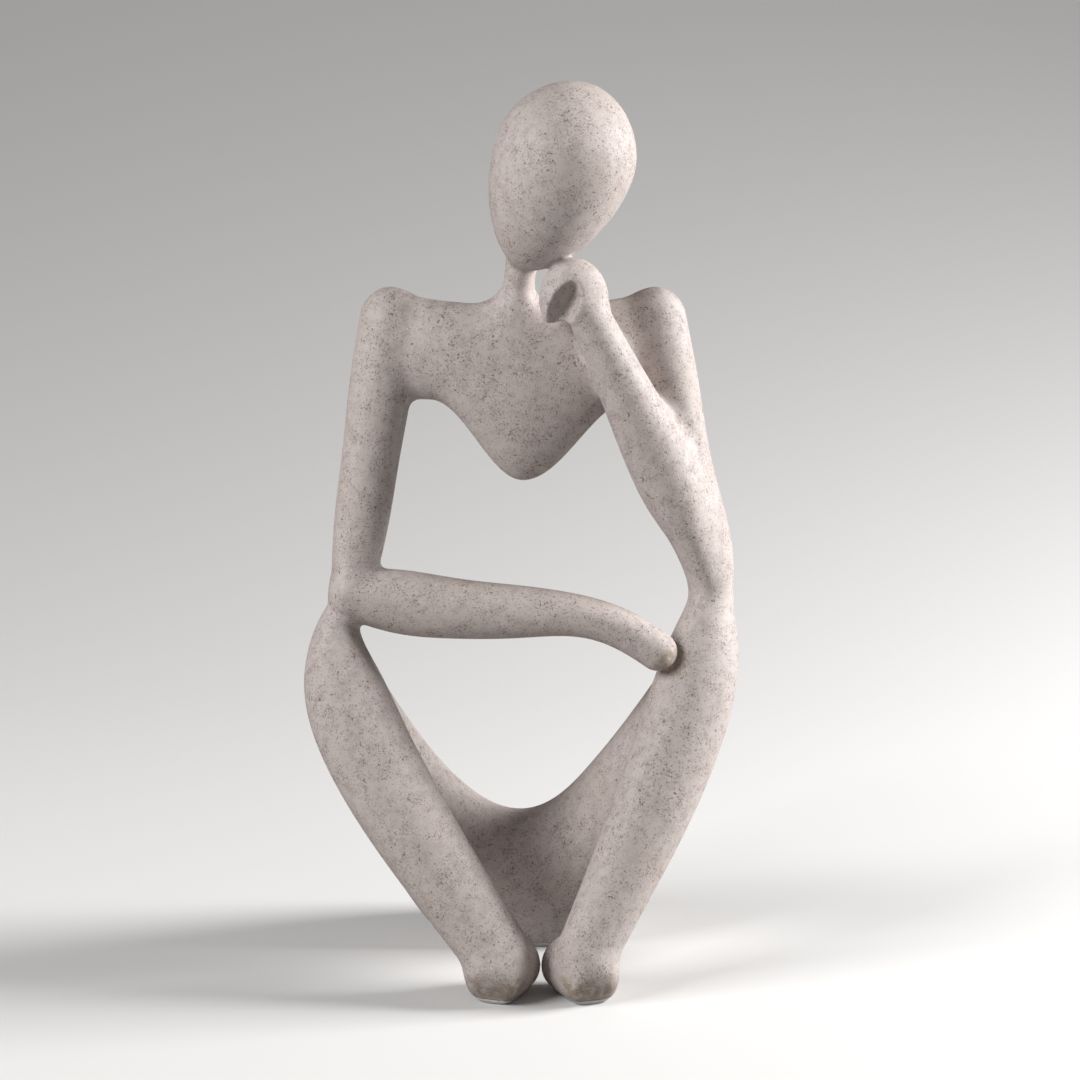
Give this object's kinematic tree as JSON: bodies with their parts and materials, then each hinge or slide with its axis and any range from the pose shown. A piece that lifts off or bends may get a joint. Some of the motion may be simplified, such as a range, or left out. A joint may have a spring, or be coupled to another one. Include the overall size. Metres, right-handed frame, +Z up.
{
  "type": "thinker statue",
  "caption": "Free-standing abstract seated thinking figure with a blank egg head, thin V-shaped chest and long round limbs, for a shelf or desk",
  "frame": {"origin": "On the floor plane under the pads, at the middle of the figure's width and depth", "axes": "+Z up to the crown, -Y the way the figure faces, +X towards its left side (the viewer's right)"},
  "size_m": [0.1252, 0.0918, 0.2588],
  "materials": {
    "sandstone_coat": "matte speckled sandstone-effect coat on cast resin",
    "pin_steel": "plain ground dowel, hidden",
    "rest_pad": "white felt"
  },
  "bodies": {
    "root": {"head": "sandstone_coat", "torso": "sandstone_coat", "right_upper_arm": "sandstone_coat", "left_upper_arm": "sandstone_coat", "right_forearm": "sandstone_coat", "left_forearm": "sandstone_coat", "pelvis": "sandstone_coat", "right_thigh": "sandstone_coat", "left_thigh": "sandstone_coat", "right_shin": "sandstone_coat", "left_shin": "sandstone_coat", "neck_pin": "pin_steel", "shoulder_pins": "pin_steel", "elbow_pins": "pin_steel", "elbow_rest_pins": "pin_steel", "knee_pins": "pin_steel", "hip_pins": "pin_steel", "seat_pad": "rest_pad", "right_foot_pad": "rest_pad", "left_foot_pad": "rest_pad"}
  },
  "joints": []
}
